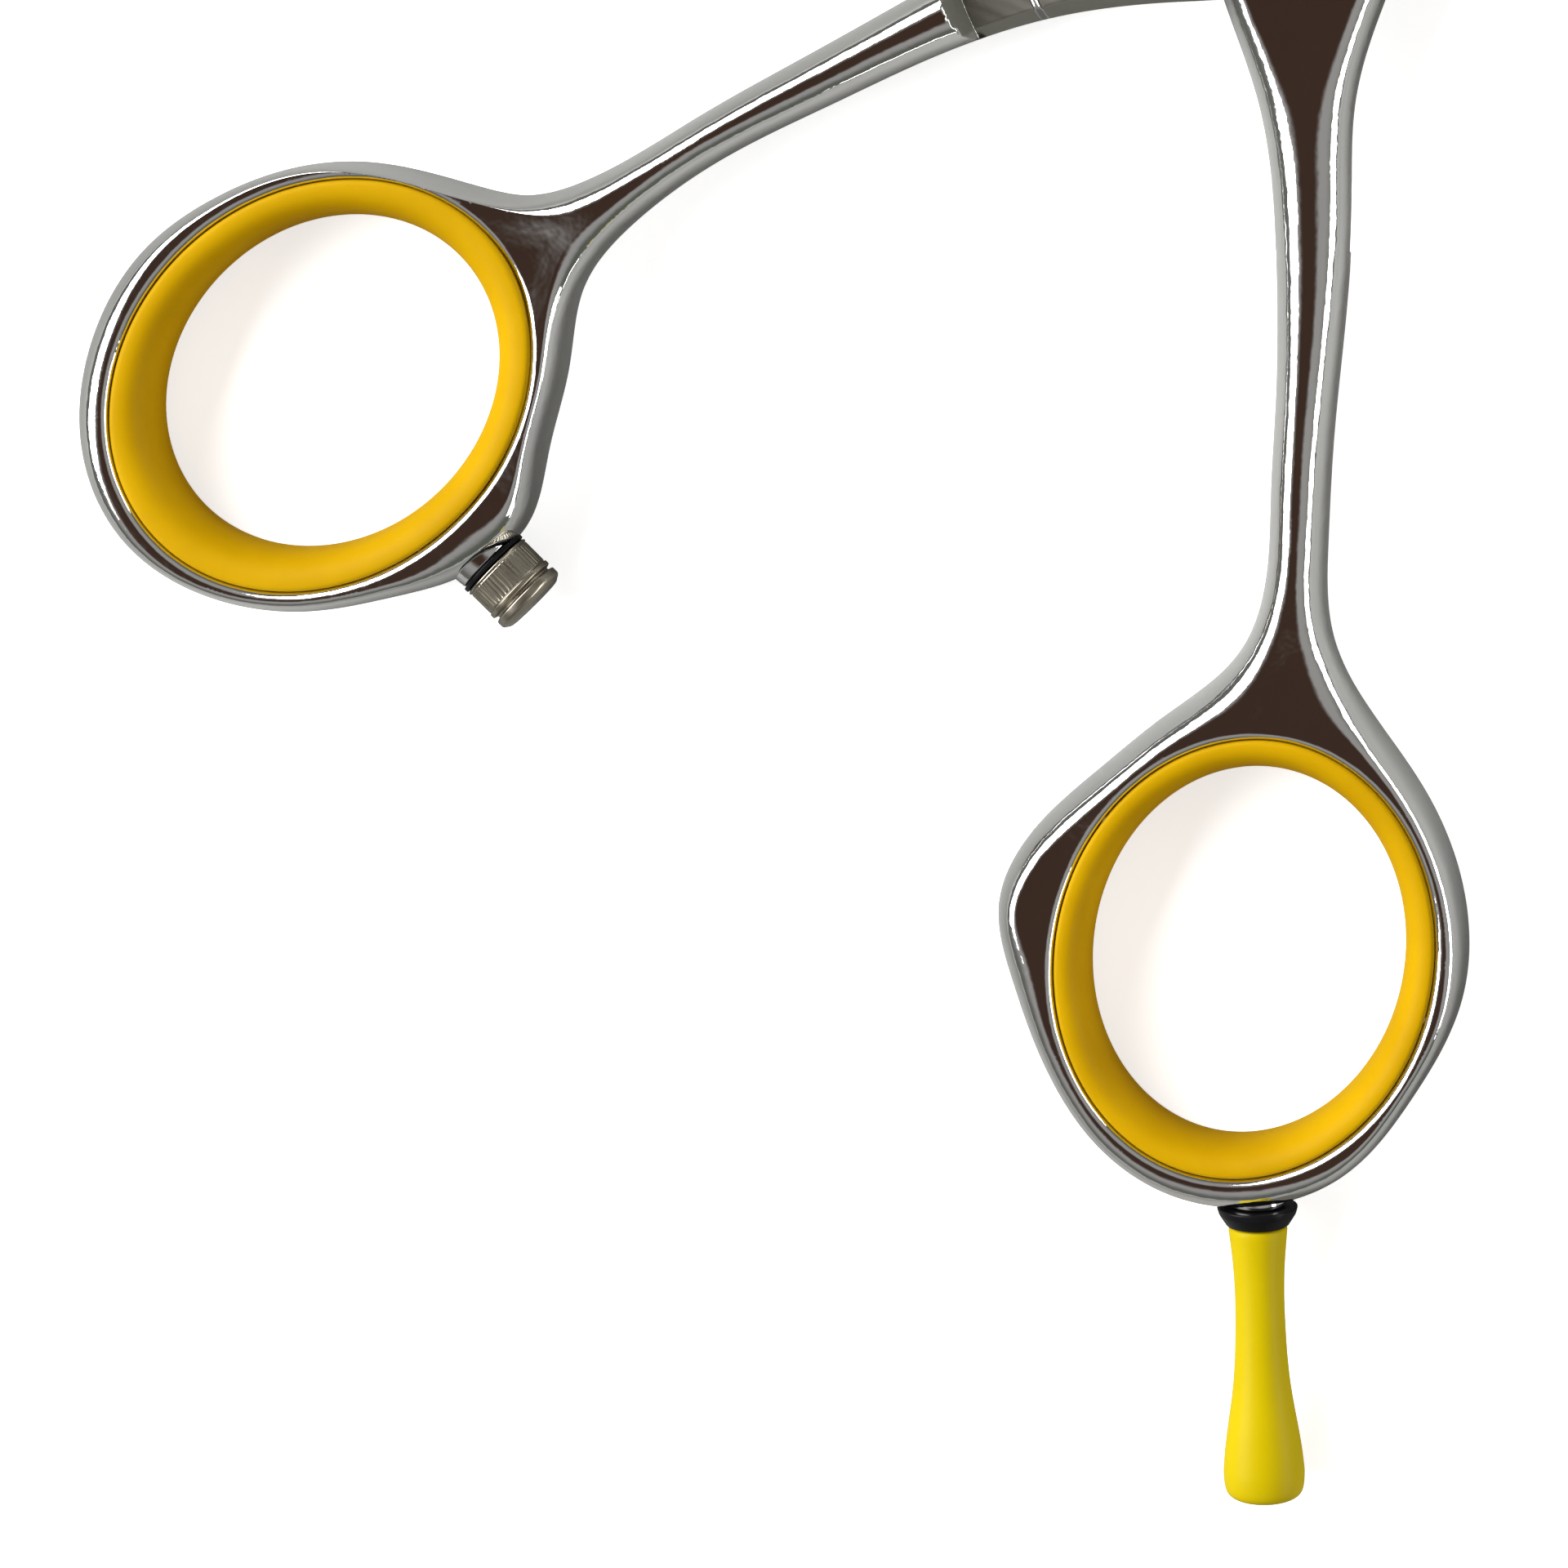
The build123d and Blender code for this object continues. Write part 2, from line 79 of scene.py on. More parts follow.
# A zone is a pair of distances from the pivot between which one shape eases into the next.
BODY_HEIGHT = 2.9               # of one half round the pivot
HANDLE_RISE, HANDLE_ZONE = 0.3, (30, 52)        # the handle is this much higher
NECK_DROP, NECK_ZONES = 0.12, ((20, 26), (30, 46))      # the neck between them is this much lower
FOOT_HEIGHT = 0.1               # of the rolled edge at the outline
FOOT_RISE, FOOT_ZONE = 0.3, (21, 27)    # near the pivot it starts this much higher
RING_ROUND = 0.5                # round at the edge of the ring hole
FACET_DEPTH, FACET_FADE = 0.10, 1.6     # hand-ground hollow of every facet, and how soon it is reached
FACET_ZONE = (4.9, 9)           # there is none round the pivot
WAVE = 0.012                    # height of the waves that polishing leaves
THINNEST = 0.1                  # no part of a half is thinner than this

ROLL_WIDTH = 1.6                # of the rolled edge round the pivot
ROLL_GROWTH, ROLL_ZONES = 0.9, ((8, 15), (30, 40))      # it is this much wider past each zone
ROLL_SHARE = 0.985              # it takes at most this share of half the local width
HOLE_CLEARANCE, HOLE_SHARE = 0.45, 0.55         # it stays this far off the ring hole, or takes this share
ROLL_REACH, ROLL_SIGMA = 27, 12         # outline samples over which a narrow place is felt and smoothed
ROLL_AHEAD = 0.02               # only outline points at least this far ahead limit the width

INNER_DEPTH = 3.1               # with the foot height, the handle's depth below the mating plane
GROUND_RADIUS = 22.3            # the ground inner face ends here
RAMP_RUN, RAMP_HEIGHT = 0.75, 3.6       # length and height of the steep ramp past it
RAMP_CURVE = 1.5                # power that bows the ramp
RAMP_END = 23.1                 # past this radius only the handle's own inner face is left
STEP_RADII = (18.2, 18.7)       # the ground face steps back between these
FACE_GAP, STEP_HEIGHT = 0.02, 0.17      # the ground face's distance from the mating plane, and its step
EDGE_BREAK, BREAK_SLOPE = 0.7, 0.5      # width and slope of the broken edge round the ground face
BREAK_ENDS = (8, -6)            # it fades in between these two y
CREST_SOFTNESS = 0.12           # of the line where the ramp meets the inner face
BLADE_FACE_START = 6            # y at which the blade's inner face starts
HOLLOW_DEPTH = 0.13             # of the blade's hollow-ground inner face
HOLLOW_LAND = 0.4               # flat left beside the cutting edge
HOLLOW_LEAST = 0.6              # the hollow is never narrower than this
HOLLOW_START, HOLLOW_END = (9, 16), (BLADE_TIP - 1, BLADE_TIP - 8)      # it fades in between these y
RACE_POCKET = (3.3, 5.1, 0.74)  # inner radius, outer radius and depth of the bearing's pocket

# Mesh points lie on the outline, on rows along it and round the ring hole, on circles about the pivot where
# the inner face changes height, and on a grid over the rest.
OUTLINE_STEP = 0.1
PLAN_STRIDE = 3                 # every third outline sample is a mesh point
TIP_DETAIL = 1.5                # every outline sample this near the tip is one
ROW_ANGLES = range(9, 91, 9)    # degrees round the rolled edge, one row of points each
HOLE_ROWS = (0.02, 0.075, 0.16, 0.28, 0.4, 0.5)         # distances of the rows round a ring hole
STEP_CIRCLES = [18.2, 18.3, 18.38, 18.45, 18.52, 18.6, 18.7]
RAMP_CIRCLES = [22.285, 22.315, 22.36, 22.44, 22.54, 22.68, 22.85, 23.08, 23.12]
WALL = 0.01                     # a wall stands between two circles this far on each side of its radius
CIRCLE_STEP = 0.25
GRID_STEP, FINE_STEP = 0.5, 0.2
FINE_BOX = ((-14, -26), (14, -20.5))    # round the end of the ground face
ROW_SPACING = 0.866             # of an even triangular grid, as a share of its step
ROW_SLACK, ROW_OVERLAP = 0.012, 0.02    # a row point may be this much nearer its own edge, not the other
ROW_TO_CIRCLE, GRID_TO_CIRCLE = 0.03, 0.1       # least distances between mesh points
CIRCLE_TO_OUTLINE, GRID_TO_ROLL = 0.05, 0.12
GRID_TO_HOLE, GRID_TO_BORE = 0.62, 0.2

# Handle outlines from one side of the pivot round the ring to the other, with the pivot at (0, 0). The thumb
# half's are turned about the pivot by the rest opening.
FINGER_OUTLINE = [
    (-6.3, 8.0), (-6.4, 2.0), (-5.4, -4.6), (-2.1, -9.6), (1.8, -14.1), (4.7, -18.9), (7.0, -24.0),
    (9.1, -29.3), (11.0, -34.7), (12.8, -40.2), (12.9, -43.8), (10.0, -49.8), (7.9, -53.8), (5.5, -59.4),
    (5.35, -63.4), (8.0, -67.8), (11.6, -71.7), (16.4, -75.0), (21.6, -76.0), (26.4, -74.6),
    (30.3, -71.0), (32.4, -64.5), (32.7, -57.9), (30.5, -52.4), (26.4, -47.9), (21.4, -44.5),
    (17.6, -41.2), (15.1, -36.0), (13.2, -30.6), (10.7, -22.4), (8.8, -17.1), (6.9, -11.9),
    (6.3, -6.0), (6.2, 0.0), (5.95, 4.6),
]
THUMB_OUTLINE = [
    (-5.95, 4.6), (-6.2, 0.0), (-6.5, -6.0), (-7.0, -13.0), (-8.6, -24.3), (-9.7, -30.8), (-10.8, -37.4),
    (-11.8, -44.2), (-13.6, -48.9), (-18.3, -53.1), (-22.8, -57.7), (-25.2, -64.0), (-25.5, -69.5),
    (-22.0, -77.4), (-18.5, -80.4), (-12.9, -81.8), (-6.8, -79.6), (-2.2, -74.9), (0.1, -70.4),
    (1.4, -67.2), (1.9, -64.4), (1.6, -61.4), (-1.0, -57.8), (-4.0, -53.8), (-7.2, -49.9),
    (-8.4, -44.4), (-7.9, -37.4), (-6.5, -31.0), (-5.0, -24.8), (-2.2, -17.3), (1.0, -12.0),
    (4.8, -6.0), (6.3, 0.0), (6.3, 8.0),
]
FINGER_RING = ((20.1, -60.5), (13.35, 11.1), 99.5)      # centre, radii, direction of the long axis
THUMB_RING = ((-12.4, -65.5), (14.0, 11.35), 89.0)
INSERT_OPENING = (11.4, 9.2)


# ---- Pieces ----------------------------------------------------------------------------
def link(o):
    bpy.context.scene.collection.objects.link(o)
    return o


def stands_for(o, body, node):
    """The piece rides on a body and is seen in place of a CAD node, which is hidden."""
    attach(o, body)
    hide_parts(node)
    return o


# ---- Curves and distances --------------------------------------------------------------
def turn(points, degrees):
    a = math.radians(degrees)
    c, s = math.cos(a), math.sin(a)
    p = np.asarray(points, float)
    return np.stack([p[..., 0] * c - p[..., 1] * s, p[..., 0] * s + p[..., 1] * c], -1)


def ease(low, high, value):
    t = np.clip((value - low) / (high - low), 0, 1)
    return t * t * (3 - 2 * t)


def spline(points, step):
    """Even samples on a natural cubic curve through the points."""
    p = np.asarray(points, float)
    t = np.r_[0, np.cumsum(np.hypot(*np.diff(p, axis=0).T))]
    n, h = len(t), np.diff(t)
    a, r = np.eye(n), np.zeros((n, 2))
    for i in range(1, n - 1):
        a[i, i - 1 : i + 2] = h[i - 1], 2 * (h[i - 1] + h[i]), h[i]
        r[i] = 6 * ((p[i + 1] - p[i]) / h[i] - (p[i] - p[i - 1]) / h[i - 1])
    m = np.linalg.solve(a, r)
    s = np.linspace(0, t[-1], int(t[-1] / step) + 1)
    i = np.clip(np.searchsorted(t, s, side="right") - 1, 0, n - 2)
    u, v, k = (t[i + 1] - s)[:, None], (s - t[i])[:, None], h[i][:, None]
    bend = (m[i] * u**3 + m[i + 1] * v**3) / (6 * k)
    return bend + (p[i] / k - m[i] * k / 6) * u + (p[i + 1] / k - m[i + 1] * k / 6) * v


def even(loop, step):
    """A closed loop resampled to even spacing."""
    p = np.vstack([loop, loop[:1]])
    t = np.r_[0, np.cumsum(np.hypot(*np.diff(p, axis=0).T))]
    s = np.linspace(0, t[-1], int(t[-1] / step), endpoint=False)
    return np.stack([np.interp(s, t, p[:, 0]), np.interp(s, t, p[:, 1])], 1)


def soften(values, sigma):
    """Gaussian smoothing round a closed loop, sigma in samples."""
    reach = int(3 * sigma) + 1
    k = np.exp(-0.5 * (np.arange(-reach, reach + 1) / sigma) ** 2)
    k /= k.sum()
    v = np.asarray(values, float)
    one = v.ndim == 1
    v = v[:, None] if one else v
    w = np.vstack([v[-reach:], v, v[:reach]])
    out = np.stack([np.convolve(w[:, i], k, "valid") for i in range(v.shape[1])], 1)
    return out[:, 0] if one else out


class Loop:
    """A closed loop of close samples that gives the distance inside it and the way in."""

    DIRECTION_SIGMA = 1.5           # samples over which the loop's direction is averaged
    FOOT_REACH = 0.7                # samples past the nearest one for which the way in is worked out

    def __init__(self, points, inside):
        self.p = points
        t = np.roll(points, -1, 0) - np.roll(points, 1, 0)
        t /= np.hypot(*t.T)[:, None]
        t = soften(t, self.DIRECTION_SIGMA)
        t /= np.hypot(*t.T)[:, None]
        self.t = t
        self.n = inside * np.stack([-t[:, 1], t[:, 0]], 1)
        self.tree = kdtree.KDTree(len(points))
        for i, q in enumerate(points):
            self.tree.insert((q[0], q[1], 0), i)
        self.tree.balance()

    def find(self, points):
        """Distance inside, the direction of the way in and the nearest sample, for each point."""
        i = np.array([self.tree.find((x, y, 0))[1] for x, y in points])
        v = points - self.p[i]
        along = (v * self.t[i]).sum(1)
        step = np.hypot(*(self.p[1] - self.p[0]))
        f = np.clip(along / step, -self.FOOT_REACH, self.FOOT_REACH)
        j = np.where(f >= 0, (i + 1) % len(self.p), i - 1)
        n = self.n[i] + (self.n[j] - self.n[i]) * np.abs(f)[:, None]
        n /= np.hypot(*n.T)[:, None]
        return (v * n).sum(1), n, i


def ellipse(centre, radii, degrees):
    n = int(2 * math.pi * sum(radii) / 2 / OUTLINE_STEP)
    a = np.linspace(0, 2 * math.pi, n, endpoint=False)
    p = turn(np.stack([radii[0] * np.cos(a), radii[1] * np.sin(a)], 1), degrees)
    return even(p + np.array(centre), OUTLINE_STEP)


def circle(radius):
    fewest = 24
    n = max(fewest, int(2 * math.pi * radius / CIRCLE_STEP))
    a = np.linspace(0, 2 * math.pi, n, endpoint=False)
    return radius * np.stack([np.cos(a), np.sin(a)], 1)


# ---- The blade's lines -----------------------------------------------------------------
def run(y):
    """0 at the heel, 1 at the tip."""
    return np.clip((y - BLADE_HEEL) / (BLADE_TIP - BLADE_HEEL), 0, 1)


def edge_x(y):
    return HEEL_EDGE * (1 - run(y) ** EDGE_CURVE) + TIP_EDGE


def spine_x(y):
    return -HEEL_SPINE * (1 - run(y) ** SPINE_CURVE) - TIP_SPINE


def crown(y):
    return BLADE_HEIGHT * (1 - BLADE_TAPER * run(y))


def roll(t):
    """Quarter round: 0 at the outline, 1 once t reaches 1."""
    t = np.clip(t, 0, 1)
    return np.sqrt(np.maximum(1 - (1 - t) ** 2, 1e-9))


def whole_outline(handle):
    """Handle outline joined to the blade, as a closed loop; the cutting edge is on the +x side."""
    body = spline(handle, OUTLINE_STEP)
    end = body[-1]
    corner = np.array((end[0] - NOTCH_CORNER[0], NOTCH_CORNER[1]))
    start = np.array((edge_x(NOTCH_END), NOTCH_END))
    notch = [
        (1 - t) ** 2 * end + 2 * t * (1 - t) * corner + t * t * start
        for t in np.linspace(0.03, 1, 40)
    ]
    y = np.arange(EDGE_START, BLADE_TIP - TIP_ROUND, OUTLINE_STEP)
    back = y[::-1][:-1]
    a = np.linspace(0.1, math.pi - 0.1, 12)
    tip = TIP_ROUND * np.stack([np.cos(a), np.sin(a)], 1) + (TIP_EDGE - TIP_ROUND, BLADE_TIP - TIP_ROUND)
    loop = np.vstack([
        body, notch, np.stack([edge_x(y), y], 1), tip, np.stack([spine_x(back), back], 1),
    ])
    loop = even(loop, OUTLINE_STEP)
    at_tip = (loop[:, 1] > BLADE_TIP - TIP_LENGTH)[:, None]
    return even(np.where(at_tip, loop, soften(loop, OUTLINE_SIGMA)), OUTLINE_STEP)


# ---- The two forgings ------------------------------------------------------------------
class Half:
    """One forged half, modelled with its outer face up and its mating plane at height 0.

    bore: radius of the pivot hole; outer_pocket: radius and floor height of the round pocket in the outer
    face; hollows: (x, y, radius, depth) of the deeper facets; tight: (x, y, radius, width) of the places
    where the rolled edge is narrower. In the methods d and dh are the distances inside the outline and
    outside the ring hole, and w is the width of the rolled edge.
    """

    BATCH = 500                     # outline samples handled at once
    FAR = 1e9

    def __init__(self, handle, ring, bore, outer_pocket, hollows, tight):
        self.hollows, self.tight = hollows, tight
        self.loop = Loop(whole_outline(handle), 1)
        self.ring = Loop(ellipse(*ring), -1)
        self.bore_radius = bore
        self.outer_pocket = outer_pocket
        self.circles = [radius + side for radius in RACE_POCKET[:2] for side in (-WALL, WALL)]
        self.circles += STEP_CIRCLES
        self.circles += [outer_pocket[0] - WALL, outer_pocket[0] + WALL]
        self.circles += RAMP_CIRCLES
        self.w = self.widths()

    def widths(self):
        """Width of the rolled edge along the outline: never more than half the local width."""
        p, n = self.loop.p, self.loop.n
        across, hole = p[::PLAN_STRIDE], self.ring.p[::PLAN_STRIDE]
        half = np.empty(len(p))
        for i in range(0, len(p), self.BATCH):
            here = slice(i, i + self.BATCH)
            v = across[None] - p[here, None]
            inward = (v * n[here, None]).sum(2)
            with np.errstate(divide="ignore", invalid="ignore"):
                touching = np.where(inward > ROLL_AHEAD, (v**2).sum(2) / (2 * inward), self.FAR)
            gap = np.hypot(*(hole[None] - p[here, None]).transpose(2, 0, 1)).min(1)
            room = np.maximum(gap - HOLE_CLEARANCE, HOLE_SHARE * gap)
            half[here] = np.minimum(touching.min(1), room)
        r = np.hypot(*p.T)
        widest = ROLL_WIDTH
        for zone in ROLL_ZONES:
            widest = widest + ROLL_GROWTH * ease(*zone, r)
        for x, y, size, width in self.tight:
            near = np.exp(-((p[:, 0] - x) ** 2 + (p[:, 1] - y) ** 2) / size**2)
            widest = widest * (1 - near) + width * near
        narrow = np.minimum(widest, ROLL_SHARE * half)
        narrow = np.min([np.roll(narrow, k) for k in range(-ROLL_REACH, ROLL_REACH + 1, PLAN_STRIDE)], 0)
        return soften(narrow, ROLL_SIGMA)

    def dish(self, x, y, d, w):
        """Hollows of the hand-ground facets, with the faint waves that polishing leaves."""
        h = FACET_DEPTH * (1 - np.exp(-((np.maximum(d - w, 0) / FACET_FADE) ** 2)))
        for cx, cy, size, depth in self.hollows:
            h = h + depth * np.exp(-((x - cx) ** 2 + (y - cy) ** 2) / size**2)
        return h + WAVE * (1 + np.sin(0.9 * x + 0.35 * y) * np.sin(0.5 * y - 0.3 * x + 1))

    def outer(self, x, y, d, dh, w):
        """Height of the outer face: the body with its rolled edge, and the blade past the heel."""
        r = np.hypot(x, y)
        neck = ease(*NECK_ZONES[0], r) * (1 - ease(*NECK_ZONES[1], r))
        top = BODY_HEIGHT + HANDLE_RISE * ease(*HANDLE_ZONE, r) - NECK_DROP * neck
        start = FOOT_HEIGHT + FOOT_RISE * (1 - ease(*FOOT_ZONE, r))
        h = start + (top - start) * roll(d / w)
        h = h - self.dish(x, y, d, w) * ease(*FACET_ZONE, r) * roll(d / w)
        h = h - RING_ROUND * (1 - roll(dh / RING_ROUND))
        u = np.clip((x - spine_x(y)) / (edge_x(y) - spine_x(y)), 0, 1)
        rise = SPINE_FOOT + (1 - SPINE_FOOT) * roll(u / SPINE_SHARE)
        bevel = np.clip((u - SPINE_SHARE) / (1 - SPINE_SHARE), 0, 1) ** BEVEL_CURVE
        fall = 1 - (1 - EDGE_LAND / crown(y)) * bevel
        blade = crown(y) * np.where(u < SPINE_SHARE, rise, fall)
        b = ease(*BLADE_BLEND, y)
        h = h * (1 - b) + blade * b
        radius, floor_height = self.outer_pocket
        return np.where(r < radius, floor_height, h)

    def inner(self, x, y, d, dh, w):
        """Height of the inner face: ground flat round the pivot, full depth along the handle."""
        r = np.hypot(x, y)
        body = FOOT_HEIGHT + (INNER_DEPTH - self.dish(x, y, d, w)) * roll(d / w)
        body = body - RING_ROUND * (1 - roll(dh / RING_ROUND))
        down = 1 - (1 - np.clip((r - GROUND_RADIUS) / RAMP_RUN, 0, 1)) ** RAMP_CURVE
        ramp = STEP_HEIGHT - RAMP_HEIGHT * down
        ride = FACE_GAP + STEP_HEIGHT * ease(*STEP_RADII, r)
        ride = ride + BREAK_SLOPE * np.maximum(EDGE_BREAK - d, 0) * ease(*BREAK_ENDS, y)
        over = ramp + body
        crest = 0.5 * (ramp - body + np.sqrt(over**2 + CREST_SOFTNESS**2))
        crest = np.maximum(crest - 0.5 * CREST_SOFTNESS * np.exp(-np.abs(over)), -body)
        h = np.where(r < RAMP_END, np.minimum(crest, STEP_HEIGHT), -body)
        h = np.where(r < GROUND_RADIUS, ride, h)
        across = (x - spine_x(y)) / np.maximum(edge_x(y) - HOLLOW_LAND - spine_x(y), HOLLOW_LEAST)
        along = ease(*HOLLOW_START, y) * ease(*HOLLOW_END, y)
        hollow = FACE_GAP + HOLLOW_DEPTH * np.clip(1 - (2 * across - 1) ** 2, 0, 1) * along
        h = np.where(y > BLADE_FACE_START, hollow, h)
        low, high, depth = RACE_POCKET
        return np.where((r > low) & (r < high), depth, h)

    def rim_samples(self):
        """Outline samples that are mesh points: evenly spaced, all at the tip, and where circles cross it."""
        p = self.loop.p
        keep = set(range(0, len(p), PLAN_STRIDE))
        keep |= set(np.where(p[:, 1] > BLADE_TIP - TIP_DETAIL)[0].tolist())
        r = np.hypot(*p.T)
        for radius in [*RAMP_CIRCLES[::3], *STEP_RADII]:
            for i in np.where((r - radius) * (np.roll(r, -1) - radius) < 0)[0]:
                keep -= {int(i) - 1, int(i) + 1}
                keep.add(int(i))
        return np.array(sorted(keep))

    def rows(self, keep):
        """Rows of points along the rolled edge and round the ring hole."""
        out = []
        for phi in np.radians(ROW_ANGLES):
            depth = self.w[keep] * (1 - math.cos(phi))
            q = self.loop.p[keep] + self.loop.n[keep] * depth[:, None]
            d, dh = self.loop.find(q)[0], self.ring.find(q)[0]
            clear = np.abs(np.hypot(*q.T)[:, None] - np.array(self.circles)).min(1) > ROW_TO_CIRCLE
            clear &= dh > np.minimum(depth + ROW_OVERLAP, RING_ROUND)
            out.append(q[(d > depth - ROW_SLACK) & clear])
        for depth in HOLE_ROWS:
            q = self.ring.p[::PLAN_STRIDE] + self.ring.n[::PLAN_STRIDE] * depth
            out.append(q[self.loop.find(q)[0] > depth + ROW_OVERLAP])
        return out

    def fill(self):
        """Triangular grid of points over the facets, closer where the ground face ends."""
        grid = []
        whole = (self.loop.p.min(0), self.loop.p.max(0))
        for (low, high), step in ((whole, GRID_STEP), (FINE_BOX, FINE_STEP)):
            for k, y in enumerate(np.arange(low[1], high[1], step * ROW_SPACING)):
                x = np.arange(low[0] + (k % 2) * step / 2, high[0], step)
                grid.append(np.stack([x, np.full(len(x), y)], 1))
        q = np.vstack(grid)
        d, _, i = self.loop.find(q)
        r = np.hypot(*q.T)
        ok = (d > self.w[i] + GRID_TO_ROLL) & (self.ring.find(q)[0] > GRID_TO_HOLE)
        ok &= r > self.bore_radius + GRID_TO_BORE
        for radius in self.circles:
            ok &= np.abs(r - radius) > GRID_TO_CIRCLE
        return q[ok]

    def plan(self):
        """Plan points and the edges that the triangles keep."""
        keep = self.rim_samples()
        points = [self.loop.p[keep], self.ring.p[::PLAN_STRIDE], circle(self.bore_radius)]
        edges, start = [], 0
        for loop in points:
            edges += [(start + k, start + (k + 1) % len(loop)) for k in range(len(loop))]
            start += len(loop)
        for radius in self.circles:
            q = circle(radius)
            ok = (self.loop.find(q)[0] > CIRCLE_TO_OUTLINE) & (self.ring.find(q)[0] > RING_ROUND)
            place = start + np.cumsum(ok) - 1
            n = len(q)
            edges += [(int(place[k]), int(place[(k + 1) % n])) for k in range(n) if ok[k] and ok[(k + 1) % n]]
            start += int(ok.sum())
            points.append(q[ok])
        return np.vstack(points + self.rows(keep) + [self.fill()]), edges

    def triangles(self):
        """Plan vertices and triangles, without those outside the outline or in a hole."""
        points, edges = self.plan()
        join = 1e-5                     # points closer than this become one
        out = geometry.delaunay_2d_cdt([Vector(p) for p in points], edges, [], 0, join)
        v = np.array([tuple(p) for p in out[0]])
        f = np.array([t for t in out[2] if len(t) == 3])
        c = v[f].mean(1)
        outside_bore = np.hypot(*c.T) > 0.999 * self.bore_radius
        f = f[(self.loop.find(c)[0] > 0) & (self.ring.find(c)[0] > 0) & outside_bore]
        a, b, e = v[f[:, 0]], v[f[:, 1]], v[f[:, 2]]
        area = (b - a)[:, 0] * (e - a)[:, 1] - (b - a)[:, 1] * (e - a)[:, 0]
        f[area < 0] = f[area < 0][:, ::-1]
        sliver = 1e-9
        f = f[np.abs(area) > sliver]
        used = np.unique(f)
        remap = np.full(len(v), -1)
        remap[used] = np.arange(len(used))
        return v[used], remap[f]

    def surface(self, height, v, at, sign):
        """Heights and normals of one face over the plan vertices; height is outer or inner."""
        x, y = v.T
        d, dh, w = at["d"], at["dh"], at["w"]
        k = 0.004                       # half step of the slopes along x and y
        gx = (height(x + k, y, d, dh, w) - height(x - k, y, d, dh, w)) / (2 * k)
        gy = (height(x, y + k, d, dh, w) - height(x, y - k, d, dh, w)) / (2 * k)
        k = 1e-4                        # and of those along the two distances
        low, high = np.maximum(d - k, 0), d + k
        gd = (height(x, y, high, dh, w) - height(x, y, low, dh, w)) / (high - low)
        low, high = np.maximum(dh - k, 0), dh + k
        gh = (height(x, y, d, high, w) - height(x, y, d, low, w)) / (high - low)
        g = np.stack([gx, gy], 1) + gd[:, None] * at["n"] + gh[:, None] * at["nh"]
        n = np.concatenate([-g, np.ones((len(g), 1))], 1) * sign
        return height(x, y, d, dh, w), n / np.linalg.norm(n, axis=1)[:, None]

    def mesh(self, name, to_row):
        """The half as a closed mesh; slot 1 is the ground inner face round the pivot and along the blade."""
        v, f = self.triangles()
        d, n, i = self.loop.find(v)
        dh, nh, _ = self.ring.find(v)
        at = {"d": np.maximum(d, 0), "n": n, "w": self.w[i], "dh": np.maximum(dh, 0), "nh": nh}
        top, top_n = self.surface(self.outer, v, at, 1)
        under, under_n = self.surface(self.inner, v, at, -1)
        co = np.vstack([np.c_[v, np.maximum(top, under + THINNEST)], np.c_[v, under]])
        count = len(v)
        below = f[:, ::-1] + count
        faces = [tuple(t) for t in f.tolist()] + [tuple(t) for t in below.tolist()]

        at_hole, at_bore = 0.02, 0.05   # vertices this near belong to the ring hole's wall or the bore's
        r = np.hypot(*v.T)
        wall_n = np.where((at["dh"] < at_hole)[:, None], -nh, -n)
        wall_n = np.where((r < self.bore_radius + at_bore)[:, None], -v / r[:, None], wall_n)
        wall_n = np.c_[wall_n, np.zeros(count)]
        sides = {(int(p), int(q)) for p, q in np.vstack([f[:, [0, 1]], f[:, [1, 2]], f[:, [2, 0]]])}
        rim = [(p, q) for p, q in sides if (q, p) not in sides]
        faces += [(p, p + count, q + count, q) for p, q in rim]
        walls = np.array([wall_n[k] for p, q in rim for k in (p, p, q, q)])
        loop_n = np.vstack([top_n[f.ravel()], under_n[f[:, ::-1].ravel()], walls])

        mid = v[f].mean(1)
        r = np.hypot(*mid.T)
        on_step = (r >= STEP_RADII[0]) & (r <= STEP_RADII[1])
        slots = np.zeros(len(faces), np.int32)
        slots[len(f) : 2 * len(f)] = ((r < GROUND_RADIUS) & ~on_step) | (mid[:, 1] > BLADE_FACE_START)

        me = bpy.data.meshes.new(name)
        me.from_pydata((to_row(co) * MM).tolist(), [], faces)
        me.polygons.foreach_set("material_index", slots)
        me.update()
        me.shade_smooth()
        me.normals_split_custom_set(to_row(loop_n, turn_only=True).tolist())
        return link(bpy.data.objects.new(name, me))


def finger_to_row(p, turn_only=False):
    """From the half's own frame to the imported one; turn_only is for directions."""
    q = np.array(p, float)
    if not turn_only:
        q[:, 2] += MATE
    return q


def thumb_to_row(p, turn_only=False):
    """The same for the thumb half, which lies outer face down and turned by the opening."""
    q = np.array(p, float) * (-1, 1, -1)
    q[:, :2] = turn(q[:, :2], -CLOSING_TURN)
    if not turn_only:
        q[:, 2] += MATE
    return q


def mirrored(points):
    """Thumb handle points in the frame of a half seen with its outer face up."""
    return turn(np.array(points, float) * (-1, 1), REST_OPENING - CLOSING_TURN)


finger = Half(
    FINGER_OUTLINE,
    FINGER_RING,
    bore=2.05,
    outer_pocket=(4.9, 2.5),
    hollows=[(16.6, -43.5, 3.6, 0.42), (7.6, -58.5, 2.6, 0.16)],
    tight=[(5.8, -61.0, 5.5, 1.5), (24.0, -75.0, 7.0, 1.7)],
)
finger_forging = finger.mesh("finger_forging", finger_to_row)
stands_for(finger_forging, "finger_side", "finger_half")

